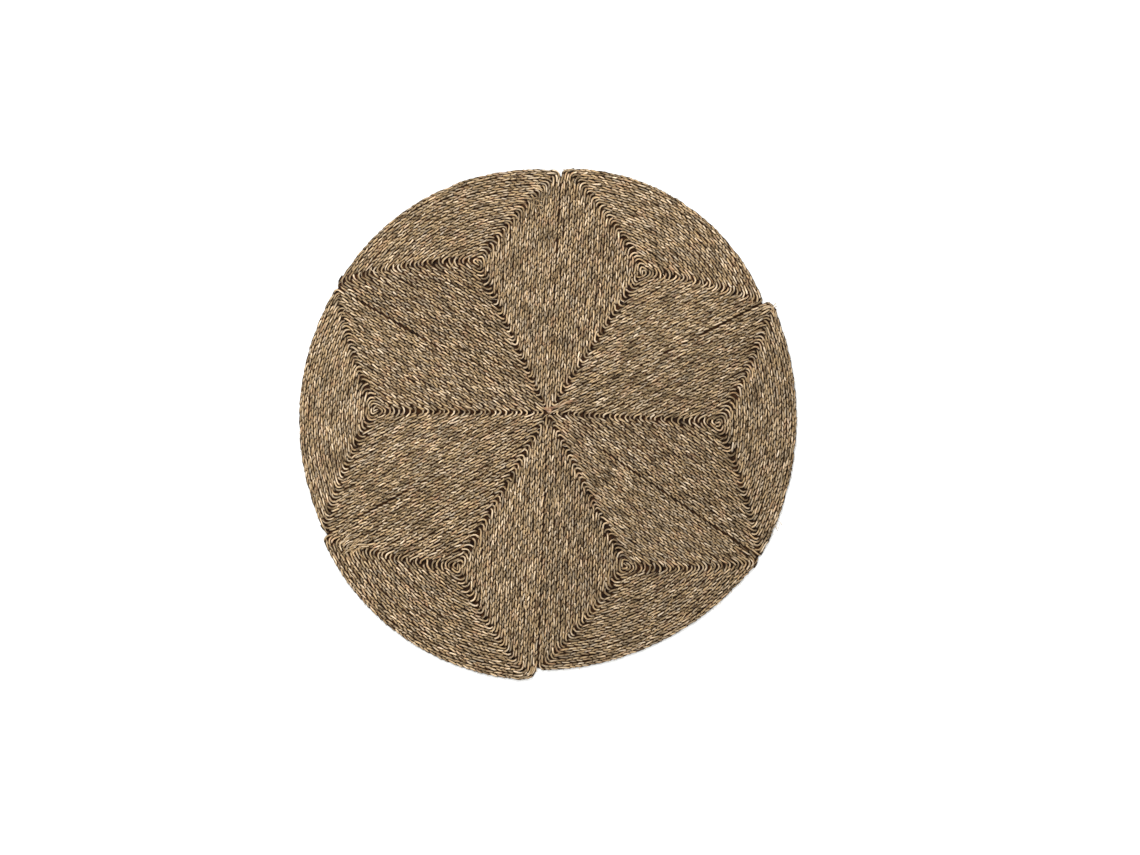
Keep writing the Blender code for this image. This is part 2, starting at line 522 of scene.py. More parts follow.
def weave_phases(stations, stitch):
    """Where a strand is in its weave at each station, in radians.

    The stitches are stretched a little between bends, so that at the apex of each one
    strand is halfway across beneath, and the other two lie on top, one to each side.
    Round the bend itself the stitches are longer.
    """
    apexes = [i for i, station in enumerate(stations) if station.apex]
    places = [stations[i].point for i in apexes]
    lengths = [0.0]
    for i, (station, after) in enumerate(zip(stations, stations[1:])):
        nearby = bisect(apexes, i)
        nearest = min((station.point - place).length for place in places[max(0, nearby - 1):nearby + 1])
        slowed = BEND_SLOWING * smooth(1 - nearest / BEND_REACH)
        lengths.append(lengths[-1] + (after.point - station.point).length * (1 - slowed))
    phases = []
    reached = math.pi / 6
    for start, end in zip([0] + apexes, apexes + [len(stations) - 1]):
        span = lengths[end] - lengths[start]
        advance = max(1, round(span / stitch * 2)) * math.pi / 3
        for i in range(start, end):
            phases.append(reached + advance * (lengths[i] - lengths[start]) / span)
        reached += advance
    return phases + [reached]


def seam_path(seam):
    """The line from the hub to the rim along which two panels meet."""
    way_out = heading(SEAMS[seam].angle)
    rims = [panel.rim_first for panel in PANELS if panel.first_seam == seam]
    rims += [panel.rim_last for panel in PANELS if panel.last_seam == seam]
    length = min(rims) - SEAMS[seam].lacing_end
    step = right_of(way_out) * ROW
    count = round(length / SEAM_STEP)
    return [Station(way_out * length * i / count, step, 1.0) for i in range(count + 1)]


def knot_path():
    """The knot at the hub: one strand that passes three times over and under itself."""
    stations = []
    for i in range(KNOT_STEPS + 1):
        t = math.tau * i / KNOT_STEPS
        x = KNOT_SIZE[0] * (math.sin(t) + 2 * math.sin(2 * t))
        y = KNOT_SIZE[1] * (math.cos(t) - 2 * math.cos(2 * t))
        point = Vector((x + KNOT_CENTRE[0], y + KNOT_CENTRE[1], -KNOT_RISE * math.sin(3 * t)))
        stations.append(Station(point, Vector((ROW, 0.0)), 1.0))
    return stations


def tie_path():
    """The end of the knotted strand, from the knot out along a seam."""
    start, end = Vector(KNOT_CENTRE), heading(SEAMS[TIE_SEAM].angle) * TIE_REACH
    step = right_of(end).normalized() * ROW
    return [Station(start.lerp(end, i / TIE_STEPS), step, 1.0) for i in range(TIE_STEPS + 1)]


def stem_ends(rng):
    """Where stem ends stick out of the rows: (point, way in radians, length)."""
    ends = []
    for outline in OUTLINES:
        stations = coil_path(outline)
        until = rng.uniform(0, END_SPACING)
        for station, after in zip(stations, stations[1:]):
            way = after.point - station.point
            until -= way.length
            if until < 0:
                until += END_SPACING * rng.uniform(*END_GAPS)
                place = station.point + station.step * rng.uniform(-END_STRAY, END_STRAY)
                turned = math.atan2(way.y, way.x) + rng.choice((0, math.pi))
                turned += rng.uniform(-END_STRAY, END_STRAY)
                ends.append((Vector((*place, END_HEIGHT)), turned, rng.uniform(*END_LENGTH)))
    return ends


def rim_ends(rng):
    """Where stem ends stick out of the rim."""
    ends = []
    for outline in OUTLINES:
        edge = edge_of(outline)
        count = round(edge.length_of("rim") / RIM_END_SPACING)
        for i in range(count):
            point = edge.point("rim", (i + rng.uniform(0, 1)) / count)
            way = point - outline.centre
            turned = math.atan2(way.y, way.x) + rng.uniform(-RIM_END_TURN, RIM_END_TURN)
            place = point - way.normalized() * rng.uniform(*RIM_END_DEPTH)
            high = RIM_END_HEIGHT + rng.uniform(-RIM_END_STRAY, RIM_END_STRAY)
            ends.append((Vector((*place, high)), turned, rng.uniform(*RIM_END_LENGTH)))
    return ends


def tuft_ends(rng):
    """The loose stems that stand out one by one."""
    ends = []
    for tuft in TUFTS:
        for _ in range(tuft.stems):
            place = heading(tuft.angle) * tuft.reach
            place += Vector((rng.gauss(0, 1), rng.gauss(0, 1))) * tuft.scatter
            turned = math.radians(tuft.way + rng.gauss(0, TUFT_TURN))
            length = tuft.length * rng.uniform(*TUFT_LENGTHS)
            ends.append((Vector((*place, END_HEIGHT)), turned, length))
    return ends


OUTLINES = [Outline(panel) for panel in PANELS]

# The width of a row, which is much the same in all panels.
ROW = OUTLINES[0].rim_to_eye / ROWS_TO_EYE


def linear(code):
    """An sRGB hex value as linear red, green and blue, with full alpha."""
    parts = [int(code[i:i + 2], 16) / 255 for i in (1, 3, 5)]
    return (*[c / 12.92 if c <= 0.04045 else ((c + 0.055) / 1.055) ** 2.4 for c in parts], 1.0)


def add(tree, kind, inputs=(), out=0, **settings):
    """Adds a node with its settings and links, and returns one of its outputs.

    The kind of a node that calculates ends in its operation.
    """
    kind, *operations = kind.split()
    node = tree.nodes.new(kind)
    for operation in operations:
        node.operation = operation
    for name, value in settings.items():
        setattr(node, name, value)
    for key, value in (inputs.items() if isinstance(inputs, dict) else enumerate(inputs)):
        if isinstance(value, bpy.types.NodeSocket):
            tree.links.new(value, node.inputs[key])
        else:
            node.inputs[key].default_value = value
    return node.outputs[out]


# Kinds of node that are added again and again. V marks the ones that calculate with vectors.
PLUS, MINUS, TIMES, OVER, TIMES_PLUS, SINE, COSINE, UNSIGNED = (
    "ShaderNodeMath " + operation for operation in (
        "ADD", "SUBTRACT", "MULTIPLY", "DIVIDE", "MULTIPLY_ADD", "SINE", "COSINE", "ABSOLUTE")
)
V_PLUS, V_MINUS, V_TIMES, V_SCALED, V_LENGTH, V_UNIT, V_DOT, V_MOST = (
    "ShaderNodeVectorMath " + operation for operation in (
        "ADD", "SUBTRACT", "MULTIPLY", "SCALE", "LENGTH", "NORMALIZE", "DOT_PRODUCT", "MAXIMUM")
)
XYZ = "ShaderNodeCombineXYZ"
RANGE = "ShaderNodeMapRange"
MIX = "ShaderNodeMix"
NOISE = "ShaderNodeTexNoise"
MAPPING = "ShaderNodeMapping"
READ = "GeometryNodeInputNamedAttribute"
STORE = "GeometryNodeStoreNamedAttribute"


def a_length(name, description, default, least=0.3, most=12.0):
    """A setting given in millimetres."""
    return FloatProperty(
        name=name, description=description, default=default * MM,
        min=least * MM, max=most * MM, unit="LENGTH")


def a_share(name, description, default, least=0.0, most=1.0):
    """A setting given as a part of something else."""
    return FloatProperty(
        name=name, description=description, default=default, min=least, max=most, subtype="FACTOR")


def an_angle(name, description, default):
    """A setting given in degrees."""
    return FloatProperty(
        name=name, description=description, default=math.radians(default),
        min=0.0, max=math.pi / 2, unit="ROTATION")


def a_colour(name, description, default):
    """A setting given as an sRGB hex value."""
    return FloatVectorProperty(
        name=name, description=description, default=linear(default), min=0, max=1, subtype="COLOR", size=4)


class RugSettings(bpy.types.PropertyGroup):
    """The whole rug."""

    stitch: a_length("Stitch", "Length of plait from one strand's pass to the next", 21.3, 10.0, 60.0)
    twist: a_length("Twist", "Length of strand in which its stems turn once round it", 85.0, 20.0, 400.0)
    seed: IntProperty(name="Seed", description="Which random places the loose stems take", default=5, min=0)


class PlaitSizes(bpy.types.PropertyGroup):
    """The three-strand plait."""

    strand_width: a_length("Strand width", "Width of one strand where it lies on top", 5.5)
    strand_thickness: a_length("Strand thickness", "Thickness of one strand", 2.3)
    press: a_share("Press", "How much thinner a strand is pressed where it passes beneath", 0.15)
    reach: a_share("Weave reach", "How far a strand lies to each side, as a share of a row", 0.275)
    slant: a_share(
        "Slant", "How far a pass slants out to the plait's edge, as a share of the reach", 0.30, -1.0)
    lean: a_share("Lean", "How far all passes lean to the same side, as a share of a row", 0.045, -1.0)
    lift: a_length("Weave lift", "How far a strand rises and dips as it crosses the others", 3.0, 0.0)
    lead: an_angle("Lead", "How early in its pass a strand is highest, so that it laps the one before", 22)
    splay: a_share(
        "Splay", "How much wider a strand is where it crosses beneath the others", 0.58, 0.0, 4.0)
    droop: an_angle("Droop", "How far a strand rolls over at the plait's edges", 14)
    unevenness: a_length("Unevenness", "How far strands stray from an even plait", 1.5, 0.0)
    wander: a_length("Wander", "How far whole rows stray from even spacing", 1.2, 0.0)


# The strips lace the rows together, and are wide enough to fill the gaps between the rows. They lie low, so
# the material darkens them there with painted shade.
class LacingSizes(bpy.types.PropertyGroup):
    """The strips that lace the rows together."""

    strand_width: a_length("Strip width", "Width of the strip between two rows", 13.0, 1.0, 16.0)
    strand_thickness: a_length("Strip thickness", "Thickness of the strip", 1.0)
    height: a_length("Height", "How high the strip runs between the rows", 2.4)
    sway: a_length("Sway", "How far the strip swings to each side as it passes from row to row", 1.5, 0.0)
    sway_length: a_length(
        "Sway length", "Length of seam in which the strip swings out and back", 60.0, 5.0, 200.0)


class KnotSizes(bpy.types.PropertyGroup):
    """The knot at the hub."""

    strand_width: a_length("Strand width", "Width of the strand that is knotted", 5.4)
    strand_thickness: a_length("Strand thickness", "Thickness of the strand that is knotted", 2.6)
    height: a_length("Height", "How high the knot's middle lies", 7.4)
    sway: a_length("Sway", "How far the strand strays to each side", 0.8, 0.0)
    sway_length: a_length(
        "Sway length", "Length of strand in which it strays out and back", 50.0, 5.0, 200.0)


class StemSizes(bpy.types.PropertyGroup):
    """The loose stems."""

    stem_width: a_length("Stem width", "Width of a loose stem of usual length", 1.3)
    stem_length: a_length("Stem length", "Usual length of a loose stem", 20.0, 5.0, 100.0)
    bend: a_share("Bend", "How far a loose stem bows, as a share of its length", 0.22)


class SeagrassColours(bpy.types.PropertyGroup):
    """The colours of the dried stems."""

    straw: a_colour("Straw", "Bleached stems", "#bdac95")
    beige: a_colour("Beige", "Most stems", "#9f8663")
    olive: a_colour("Olive", "Stems cut green", "#877253")
    brown: a_colour("Brown", "Stems that dried dark", "#523a25")
    russet: a_colour("Russet", "Reddish stem ends", "#84644d")
    # The inside colour is painted shade: the deep parts of the plait are multiplied by it.
    inside: a_colour("Inside", "What the unbleached inside of the plait keeps of those colours", "#46311a")


class StudioSettings(bpy.types.PropertyGroup):
    """Light and camera."""

    key_power: FloatProperty(
        name="Key light", description="Power of the large light at the upper left, in watts",
        default=164, min=0, max=5000)
    ambient: FloatProperty(
        name="Ambient light", description="Strength of the even light from all round",
        default=1.54, min=0, max=5)
    overhead: a_share("Overhead share", "Light from straight above, as a share of the ambient light", 0.3)
    lens: FloatProperty(
        name="Lens", description="The camera's focal length, in millimetres",
        default=85, min=20, max=300, unit="CAMERA")


def new_material(name, finish):
    """A material with these values on its shader, and the shader's inputs."""
    material = bpy.data.materials.new(name)
    material.use_nodes = True
    shader = material.node_tree.nodes["Principled BSDF"].inputs
    for label, value in finish.items():
        shader[label].default_value = value
    return material, shader


def seagrass(name, colours, tone, red):
    """Dried seagrass stems, twisted into strands and plaited, as light as its tone.

    The stems are matt with a slight waxy gloss, and fine ridges run along them. Each
    dried to its own colour, from bleached straw to olive and brown, with reddish ends.
    """
    material, shader = new_material(name, {"Roughness": 0.72, "IOR": 1.45, "Specular IOR Level": 0.15})
    tree = material.node_tree
    node = partial(add, tree)
    place = node("ShaderNodeAttribute", attribute_name="stem_place", out="Vector")

    # Patches of colour along each stem: stems are about 2 mm wide, and change colour
    # every 40 to 80 mm as new ones are worked in.
    stem = node(MAPPING, {"Vector": place, "Scale": (380, 380, 17)})
    stem_noise = node(NOISE, {"Vector": stem, "Scale": 1, "Detail": 2})
    ramp = node("ShaderNodeValToRGB", {"Fac": stem_noise})
    stops = ramp.node.color_ramp.elements
    for stop, position, shade in zip(stops, (0.44, 0.52), (colours.olive, colours.beige)):
        stop.position, stop.color = position, shade
    for position, shade in ((0.34, colours.brown), (0.63, colours.straw)):
        stops.new(position).color = shade

    # A strand is lighter or darker every 60 mm or so, and neighbouring rows are of the same
    # batch of stems, which differs a little, also in how red it is, every 30 to 40 mm.
    strand = node(MAPPING, {"Vector": place, "Scale": (90, 90, 16), "Location": (3, 9, 4)})
    strand_noise = node(NOISE, {"Vector": strand, "Scale": 1, "Detail": 0})
    strand_tone = node(RANGE, (strand_noise, 0.3, 0.7, 0.54, 1.58))
    where = node("ShaderNodeTexCoord", out="Object")
    batch_noise = node(NOISE, {"Vector": where, "Scale": 26, "Detail": 2})
    batch_tone = node(RANGE, (batch_noise, 0.3, 0.7, 0.84, 1.16))
    batch_tone = node(TIMES, (batch_tone, tone))
    lightness = node(TIMES, (batch_tone, strand_tone))
    red_noise = node(NOISE, {"Vector": place, "Scale": 50, "Detail": 1})
    red_noise = node(PLUS, (red_noise, batch_noise))
    reddish = node(RANGE, (red_noise, 1.02, 1.22, red - 0.6, red))
    tint = node(MIX, {0: reddish, 6: ramp, 7: colours.russet}, data_type="RGBA", out=2)
    tint = node(V_SCALED, {0: tint, 3: lightness})

    # Painted light and shade: the crests on either face are painted lighter, and the points
    # deep inside the plait darker, as light and shade would fall there.
    openness = node("ShaderNodeAttribute", attribute_name="openness", out="Fac")
    painted_light = node(RANGE, (openness, 0.46, 0.92, 0.0, 1.0))
    kept = node(MIX, {0: painted_light, 6: colours.inside, 7: (1, 1, 1, 1)}, data_type="RGBA", out=2)
    tint = node(MIX, {0: 1.0, 6: tint, 7: kept}, data_type="RGBA", blend_type="MULTIPLY", out=2)
    tree.links.new(tint, shader["Base Color"])

    # Ridges along the stems, about 0.5 mm apart.
    ridge = node(MAPPING, {"Vector": place, "Scale": (1600, 1600, 40)})
    ridge_noise = node(NOISE, {"Vector": ridge, "Scale": 1, "Detail": 1})
    bump = node("ShaderNodeBump", {"Strength": 0.5, "Distance": 0.5 * MM, "Height": ridge_noise})
    tree.links.new(bump, shader["Normal"])
    return material


def label_of(key):
    """How an input of a tree is labelled: strand_width is Strand width."""
    return key.replace("_", " ").capitalize()


def new_tree(name, sizes, **others):
    """A geometry node tree with an input for each size and for these others, and the inputs."""
    tree = bpy.data.node_groups.new(name, "GeometryNodeTree")
    tree.interface.new_socket("Geometry", in_out="OUTPUT", socket_type="NodeSocketGeometry")
    kinds = {"geometry": "Geometry", **dict.fromkeys(sizes.__annotations__, "Float"), **others}
    for key, kind in kinds.items():
        tree.interface.new_socket(label_of(key), in_out="INPUT", socket_type="NodeSocket" + kind)
    return tree, dict(zip(kinds, tree.nodes.new("NodeGroupInput").outputs))


def finish_tree(tree, given, mesh):
    """Smooths the mesh, gives it its material and ends the tree in it."""
    mesh = add(tree, "GeometryNodeSetShadeSmooth", {"Geometry": mesh})
    mesh = add(tree, "GeometryNodeRealizeInstances", {"Geometry": mesh})
    mesh = add(tree, "GeometryNodeSetMaterial", {"Geometry": mesh, "Material": given["material"]})
    tree.links.new(mesh, tree.nodes.new("NodeGroupOutput").inputs[0])


def draw_strands(tree, given, strands):
    """Draws a twisted bundle of stems along each curve, and ends the tree in them.

    The points hold their openness to the light, judged from their height, by which the material
    paints light and shade, and their place in the pattern of stems, which the material reads.
    """
    node = partial(add, tree)
    place = node("GeometryNodeInputPosition")
    normal = node("GeometryNodeInputNormal")
    for name, value in (("centre", place), ("side", normal)):
        strands = node(STORE, {"Geometry": strands, "Name": name, "Value": value}, data_type="FLOAT_VECTOR")
    section = node("GeometryNodeCurvePrimitiveCircle", {"Resolution": given["strand_sides"], "Radius": 0.5})
    section = node(STORE, {"Geometry": section, "Name": "section", "Value": place}, data_type="FLOAT_VECTOR")
    size = node(XYZ, (given["strand_width"], given["strand_thickness"], 1.0))
    section = node("GeometryNodeTransform", {"Geometry": section, "Scale": size})
    girth, flat, along = (node(READ, {"Name": name}) for name in ("girth", "flat", "along"))
    centre, side, in_section = (
        node(READ, {"Name": name}, data_type="FLOAT_VECTOR") for name in ("centre", "side", "section"))
    mesh = node("GeometryNodeCurveToMesh",
                {"Curve": strands, "Profile Curve": section, "Scale": girth, "Fill Caps": True})

    # It is wider where it is flattened, and rests on the floor at its lowest.
    from_centre = node(V_MINUS, (place, centre))
    sideways = node(V_DOT, (from_centre, side), out="Value")
    widening = node(TIMES, (sideways, flat))
    widening = node(V_SCALED, {0: side, 3: widening})
    widened = node(V_PLUS, (place, widening))
    resting = node(V_MOST, (widened, (-FLOOR_HALF, -FLOOR_HALF, 0.0)))

    # How open each point lies to the light, judged by how near it lies to the face of the rug
    # that it looks out of. The material paints shade by it.
    upper = node("ShaderNodeSeparateXYZ", (from_centre,), out="Z")
    upper = node(OVER, (upper, given["strand_thickness"]))
    upper = node(TIMES_PLUS, (upper, 2.0, 1.0), use_clamp=True)
    height = node("ShaderNodeSeparateXYZ", (resting,), out="Z")
    from_below = node(OVER, (height, CAD_BOX[1].z))
    from_above = node(MINUS, (1.0, from_below))
    openness = node(MIX, {0: upper, 2: from_above, 3: from_below})

    # Where each point is in its bundle of stems, which turns along the strand.
    turned = node(OVER, (along, given["twist"]))
    turned = node(TIMES, (turned, math.tau))
    in_section = node("ShaderNodeVectorRotate", {"Vector": in_section, "Angle": turned},
                      rotation_type="Z_AXIS")
    in_section = node(V_SCALED, {0: in_section, 3: given["strand_width"]})
    lengthwise = node(XYZ, {"Z": along})
    stem_place = node(V_PLUS, (in_section, lengthwise))
    for name, value, kind in (("openness", openness, "FLOAT"), ("stem_place", stem_place, "FLOAT_VECTOR")):
        mesh = node(STORE, {"Geometry": mesh, "Name": name, "Value": value}, data_type=kind)
    mesh = node("GeometryNodeSetPosition", {"Geometry": mesh, "Position": resting})
    finish_tree(tree, given, mesh)


def lacing_tree():
    """Turns a path into a flat strip that swings from side to side along it."""
    tree, given = new_tree(
        "laced_strip", LacingSizes,
        row="Float", twist="Float", strand_sides="Int", seed="Float", material="Material")
    node = partial(add, tree)
    path = node("GeometryNodeMeshToCurve", {"Mesh": given["geometry"]})
    across = node(READ, {"Name": "row_step"}, data_type="FLOAT_VECTOR")
    length = node("GeometryNodeSplineParameter", out="Length")
    phase = node(OVER, (length, given["sway_length"]))
    phase = node(TIMES_PLUS, (phase, math.tau, given["seed"]))
    sway = node(SINE, (phase,))
    sway = node(TIMES, (sway, given["sway"]))
    way = node(V_UNIT, (across,))
    offset = node(V_SCALED, {0: way, 3: sway})
    upward = node(XYZ, {"Z": given["height"]})
    offset = node(V_PLUS, (offset, upward))

    # It widens with the rows where they fan out round a bend.
    row = node(V_LENGTH, (across,), out="Value")
    flat = node(OVER, (row, given["row"]))
    flat = node(TIMES_PLUS, (flat, STRIP_WIDENING, -1.0))
    along = node(TIMES_PLUS, (given["seed"], APART, length))
    for name, value in (("girth", 1.0), ("flat", flat), ("along", along)):
        path = node(STORE, {"Geometry": path, "Name": name, "Value": value})
    path = node("GeometryNodeSetPosition", {"Geometry": path, "Offset": offset})
    path = node("GeometryNodeSetCurveNormal", {"Curve": path}, mode="Z_UP")
    draw_strands(tree, given, path)
    return tree


def stems_tree():
    """Lays a thin bent stem at each point, the way and as long as is held there."""
    tree, given = new_tree("loose_stems", StemSizes, material="Material")
    node = partial(add, tree)
    bent = node(XYZ, (0.5, given["bend"]))
    stem = node("GeometryNodeCurveQuadraticBezier",
                {"Resolution": 4, "Start": (0.0, 0.0, 0.0), "Middle": bent, "End": (1.0, 0.0, 0.0)})
    radius = node(OVER, (given["stem_width"], given["stem_length"]))
    radius = node(TIMES, (radius, 0.5))
    section = node("GeometryNodeCurvePrimitiveCircle", {"Resolution": 4, "Radius": radius})
    stem = node("GeometryNodeCurveToMesh", {"Curve": stem, "Profile Curve": section, "Fill Caps": True})
    place = node("GeometryNodeInputPosition")
    stem = node(STORE, {"Geometry": stem, "Name": "in_stem", "Value": place}, data_type="FLOAT_VECTOR")
    turned, long = (node(READ, {"Name": name}) for name in ("turned", "long"))
    rotation = node(XYZ, {"Z": turned})
    stems = node("GeometryNodeInstanceOnPoints",
                 {"Points": given["geometry"], "Instance": stem, "Rotation": rotation, "Scale": long})
    stems = node("GeometryNodeRealizeInstances", {"Geometry": stems})

    # Each stem has a stretch of the pattern to itself, which runs along it.
    in_stem = node(READ, {"Name": "in_stem"}, data_type="FLOAT_VECTOR")
    place = node(V_SCALED, {0: in_stem, 3: long})
    place = node("ShaderNodeVectorRotate", {"Vector": place, "Angle": -math.pi / 2}, rotation_type="Y_AXIS")
    apart = node(TIMES, (long, STEMS_APART))
    apart = node(XYZ, {"Z": apart})
    place = node(V_PLUS, (place, apart))
    for name, value, kind in (("stem_place", place, "FLOAT_VECTOR"), ("openness", 1.0, "FLOAT")):
        stems = node(STORE, {"Geometry": stems, "Name": name, "Value": value}, data_type=kind)
    finish_tree(tree, given, stems)
    return tree


def plait_tree():
    """Turns a path into a flat three-strand plait along it."""
    tree, given = new_tree(
        "three_strand_plait", PlaitSizes, weave_step="Float", strand_step="Float",
        twist="Float", strand_sides="Int", seed="Float", material="Material")
    node = partial(add, tree)
    seed = given["seed"]

    # Three copies of the path, one for each strand.
    path = node("GeometryNodeMeshToCurve", {"Mesh": given["geometry"]})
    path = node("GeometryNodeResampleCurve", {"Curve": path, "Length": given["weave_step"]}, mode="LENGTH")
    copies = node("GeometryNodeDuplicateElements", {"Geometry": path, "Amount": 3}, domain="SPLINE").node
    strands = node(STORE, {"Geometry": copies.outputs[0], "Name": "strand", "Value": copies.outputs[1]})
    strand, fullness, weave = (node(READ, {"Name": name}) for name in ("strand", "fullness", "weave"))
    across = node(READ, {"Name": "row_step"}, data_type="FLOAT_VECTOR")
    length = node("GeometryNodeSplineParameter", out="Length")

    # Rows fan out round bends.
    row = node(V_LENGTH, (across,), out="Value")
    fanning = node(RANGE, (row, 16 * MM, 48 * MM, 0.0, 2.0))

    # The stitches drift in length between bends, and whole rows stray from even spacing.
    changes = []
    for pace in (20.0, 14.0):
        at = node(TIMES_PLUS, (length, pace, seed))
        noise = node(NOISE, {"W": at, "Scale": 1.0, "Detail": 1.0}, noise_dimensions="1D")
        changes.append(node(MINUS, (noise, 0.5)))
    drift, wander = changes
    drifting = node(MINUS, (1.0, fanning), use_clamp=True)
    drift = node(TIMES, (drift, drifting))
    way = node(V_UNIT, (across,))
    wander = node(TIMES, (wander, given["wander"]))
    wander = node(TIMES, (wander, 4.0))
    wander = node(V_SCALED, {0: way, 3: wander})

    # Where each strand is in its weave. It lies to one side for a third of the weave,
    # crosses beneath, and lies to the other.
    phase = node(TIMES_PLUS, (strand, math.tau / 3, weave))
    phase = node(TIMES_PLUS, (drift, 3.0, phase))
    cosine = node(COSINE, (phase,))
    sine = node(SINE, (phase,))
    swing = node(RANGE, (cosine, -0.64, 0.64, -1.0, 1.0))
    swing = node(TIMES_PLUS, (sine, given["slant"], swing))
    double = node(TIMES, (phase, 2.0))
    leaning = node(SINE, (double,))
    leaning = node(TIMES, (leaning, given["lean"]))
    swung = node(TIMES_PLUS, (swing, given["reach"], leaning))
    swung = node(TIMES, (swung, fullness))
    rising = node(PLUS, (double, given["lead"]))
    rising = node(COSINE, (rising,))
    rise = node(RANGE, (rising, -1.0, 0.0, -1.0, 1.0), interpolation_type="SMOOTHSTEP")
    lifted = node(TIMES, (rise, given["lift"]))
    middle = node(TIMES_PLUS, (given["strand_thickness"], 0.5, given["lift"]))
    height = node(PLUS, (lifted, middle))
    upward = node(XYZ, {"Z": height})
    offset = node(V_SCALED, {0: across, 3: swung})
    offset = node(V_PLUS, (offset, upward))

    # Each strand strays a little on its own, and is thicker here and thinner there.
    place = node("GeometryNodeInputPosition")
    stray_at = node(TIMES_PLUS, (strand, 5.3, seed))
    stray, girth = (
        node(NOISE, {"Vector": place, "W": stray_at, "Scale": scale, "Detail": 1.0},
             noise_dimensions="4D", out=out)
        for scale, out in ((28.0, "Color"), (45.0, "Fac"))
    )
    stray = node(V_MINUS, (stray, (0.5, 0.5, 0.5)))
    stray = node(V_TIMES, (stray, (2.0, 2.0, 0.6)))
    stray = node(V_SCALED, {0: stray, 3: given["unevenness"]})
    for more in (stray, wander):
        offset = node(V_PLUS, (offset, more))
    thinnest = node(MINUS, (1.0, given["press"]))
    thinning = node(RANGE, (rise, -0.6, 0.6, thinnest, 1.0), interpolation_type="SMOOTHSTEP")
    girth = node(RANGE, (girth, 0.25, 0.75, 0.82, 1.16))
    for less in (fullness, thinning):
        girth = node(TIMES, (girth, less))

    # What the mesh and its finish need to know, kept on the points. A strand is wider where
    # the rows fan out, most of all where it lies low, and where it crosses beneath.
    along = node(TIMES_PLUS, (strand, STRANDS_APART, length))
    along = node(TIMES_PLUS, (seed, APART, along))
    spread = node(RANGE, (rise, 0.4, -0.6, 0.05, 1.0))
    flat = node(TIMES, (fanning, spread))
    crossing = node(UNSIGNED, (cosine,))
    crossing = node(RANGE, (crossing, 0.0, 0.7, given["splay"], 0.0), interpolation_type="SMOOTHSTEP")
    flat = node(PLUS, (flat, crossing))
    kept = {"swing": swing, "rise": rise, "along": along, "girth": girth, "flat": flat}
    for name, value in kept.items():
        strands = node(STORE, {"Geometry": strands, "Name": name, "Value": value})
    strands = node("GeometryNodeSetPosition", {"Geometry": strands, "Offset": offset})
    strands = node("GeometryNodeResampleCurve",
                   {"Curve": strands, "Length": given["strand_step"]}, mode="LENGTH")
    strands = node("GeometryNodeSetCurveNormal", {"Curve": strands}, mode="Z_UP")

    # It rolls over towards the plait's edges, mostly where it lies on top.
    swing, rise = (node(READ, {"Name": name}) for name in ("swing", "rise"))
    rolling = node(TIMES_PLUS, (rise, 0.45, 0.55))
    rolling = node(TIMES, (rolling, given["droop"]))
    roll = node(TIMES, (swing, rolling))
    strands = node("GeometryNodeSetCurveTilt", {"Curve": strands, "Tilt": roll})
    draw_strands(tree, given, strands)
    return tree


def new_object(name, data):
    """An object in the scene with this mesh, light or camera."""
    obj = bpy.data.objects.new(name, data)
    bpy.context.scene.collection.objects.link(obj)
    return obj


def points_object(name, points, edges, values):
    """Points and lines between them, with the values that are held at each point."""
    mesh = bpy.data.meshes.new(name)
    mesh.from_pydata([point.to_3d() + HUB.to_3d() for point in points], edges, [])
    for label, held in values.items():
        if isinstance(held[0], Vector):
            steps = mesh.attributes.new(label, "FLOAT_VECTOR", "POINT")
            steps.data.foreach_set("vector", [part for step in held for part in step.to_3d()])
        else:
            mesh.attributes.new(label, "FLOAT", "POINT").data.foreach_set("value", held)
    return new_object(name, mesh)


def path_object(name, *lines, **values):
    """Lines of points that hold what a plait or strip needs at each one."""
    stations = [station for line in lines for station in line]
    ends = set(accumulate(len(line) for line in lines))
    edges = [(i - 1, i) for i in range(1, len(stations)) if i not in ends]
    values["row_step"] = [station.step for station in stations]
    values["fullness"] = [station.full for station in stations]
    return points_object(name, [station.point for station in stations], edges, values)


def made_piece(name, obj, tree, sizes, **inputs):
    """Runs the tree on the object, and leaves a plain mesh in its place as a piece of the rug."""
    for key in type(sizes).__annotations__:
        inputs[key] = getattr(sizes, key)
    modifier = obj.modifiers.new(tree.name, "NODES")
    modifier.node_group = tree
    sockets = {item.name: item.identifier for item in tree.interface.items_tree if item.in_out == "INPUT"}
    for key, value in inputs.items():
        modifier[sockets[label_of(key)]] = value
    bpy.context.view_layer.update()
    depsgraph = bpy.context.evaluated_depsgraph_get()
    mesh = bpy.data.meshes.new_from_object(
        obj.evaluated_get(depsgraph), preserve_all_data_layers=True, depsgraph=depsgraph)
    bpy.data.objects.remove(obj)
    mesh.name = name
    piece = new_object(name, mesh)
    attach(piece, "root")
    return piece


class RUG_OT_panels(bpy.types.Operator):
    """Plaits and coils the six panels"""

    bl_idname = "rug.panels"
    bl_label = "Plaited panels"

    def execute(self, context):
        rug, tree = context.scene.rug_whole, plait_tree()
        for number, outline in enumerate(OUTLINES):
            name = outline.panel.name
            stations = coil_path(outline)
            path = path_object("path_" + name, stations, weave=weave_phases(stations, rug.stitch))
            material = seagrass("seagrass_" + name, context.scene.rug_colours, outline.panel.tone, PLAIT_RED)
            piece = made_piece(
                "plait_" + name, path, tree, context.scene.rug_plait,
                weave_step=WEAVE_STEP, strand_step=STRAND_STEP, twist=rug.twist,
                strand_sides=STRAND_SIDES, seed=PLAIT_SEEDS[0] + PLAIT_SEEDS[1] * number,
                material=material)
            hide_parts("panel_" + name)
            area_of(outline)
        return {"FINISHED"}


